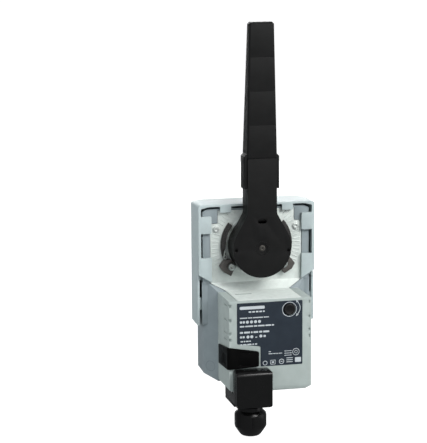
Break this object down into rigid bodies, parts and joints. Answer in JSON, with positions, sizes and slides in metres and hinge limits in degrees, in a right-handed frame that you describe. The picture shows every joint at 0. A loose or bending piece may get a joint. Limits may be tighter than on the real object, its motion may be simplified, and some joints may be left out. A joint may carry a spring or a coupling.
{
  "type": "motorised actuator head",
  "caption": "Quarter-turn motorised actuator head for a ball valve, with a manual lever, clip frame, release button, terminal box and cable gland.",
  "frame": {"origin": "on the output axis, in the rear mounting face where the valve stem enters", "axes": "+Y out of the rear face towards the valve, +Z along the lever at mid travel, front faces -Y"},
  "size_m": [0.0908, 0.0755, 0.3052],
  "materials": {
    "frame_plastic": "fine satin moulding",
    "shell_plastic": "fine satin moulding",
    "cover_plastic": "fine satin moulding",
    "cast_metal": "blasted die casting",
    "label_film": "printed film, satin",
    "gloss_black": "polished moulding",
    "seal_rubber": "plain",
    "zinc_steel": "bright zinc",
    "acetal": "satin",
    "dark_part": "satin",
    "stop_plastic": "satin",
    "bronze": "plain",
    "plain_steel": "machined",
    "board": "solder resist",
    "button_plastic": "satin",
    "lever_plastic": "satin glass-filled",
    "nylon": "satin",
    "brass": "turned"
  },
  "bodies": {
    "housing": {"clip_frame": "frame_plastic", "rear_shell": "shell_plastic", "front_cover": "cover_plastic", "gearbox_plate": "cast_metal", "label_plate": "label_film", "wiring_cover": "gloss_black", "terminal_hood": "gloss_black", "terminal_floor": "gloss_black", "gland_body": "gloss_black", "gland_locknut": "dark_part", "gland_seal": "seal_rubber", "floor_screw": "zinc_steel", "terminal_block": "acetal", "terminal_screw_1": "zinc_steel", "terminal_screw_2": "zinc_steel", "terminal_screw_3": "zinc_steel", "housing_screw_1": "zinc_steel", "housing_screw_2": "zinc_steel", "housing_screw_3": "zinc_steel", "housing_screw_4": "zinc_steel", "plate_screw_left": "zinc_steel", "plate_screw_right": "zinc_steel", "end_stop_left": "stop_plastic", "end_stop_right": "stop_plastic", "end_stop_screw_left": "zinc_steel", "end_stop_screw_right": "zinc_steel", "spring_clip": "zinc_steel", "bush_rear": "bronze", "bush_front": "bronze", "gear_bridge": "plain_steel", "axle_a": "plain_steel", "axle_b": "plain_steel", "motor": "plain_steel", "circuit_board": "board", "capacitor": "dark_part", "power_module": "dark_part", "button_spring": "zinc_steel"},
    "output": {"output_shaft": "plain_steel", "output_gear": "plain_steel", "lever_hub": "lever_plastic", "lever_handle": "lever_plastic", "lever_screw": "dark_part", "handle_pin": "zinc_steel"},
    "release": {"release_button": "button_plastic"},
    "gear_a": {"gear_a": "nylon"},
    "gear_b": {"gear_b": "nylon"},
    "rotor": {"motor_pinion": "brass"},
    "gland": {"gland_nut": "gloss_black"}
  },
  "joints": [
    {"name": "output_turn", "type": "hinge", "parent": "housing", "child": "output", "pos_m": [0, 0, 0], "axis": [0, 1, 0], "range_deg": [-45, 45]},
    {"name": "release_press", "type": "slide", "parent": "housing", "child": "release", "axis": [0, 1, 0], "range_m": [0, 0.003], "stiffness_N_per_m": 400, "springref_m": -0.004, "deforming": ["button_spring"]},
    {"name": "gear_a_turn", "type": "hinge", "parent": "housing", "child": "gear_a", "pos_m": [0, 0, -0.035], "axis": [0, 1, 0], "range_deg": [-272, 272]},
    {"name": "gear_b_turn", "type": "hinge", "parent": "housing", "child": "gear_b", "pos_m": [0.0145, 0, -0.04235], "axis": [0, 1, 0], "range_deg": [-1090, 1090]},
    {"name": "rotor_turn", "type": "hinge", "parent": "housing", "child": "rotor", "pos_m": [0.0055, 0, -0.05435], "axis": [0, 1, 0], "range_deg": [-5450, 5450]},
    {"name": "gland_nut_turn", "type": "hinge", "parent": "housing", "child": "gland", "pos_m": [-0.014, -0.058, -0.12], "axis": [0, 0, 1], "range_deg": [0, 360]}
  ],
  "couplings": [
    {"joint": "gear_a_turn", "follows": "output_turn", "ratio": -6},
    {"joint": "gear_b_turn", "follows": "output_turn", "ratio": 24},
    {"joint": "rotor_turn", "follows": "output_turn", "ratio": -120}
  ]
}
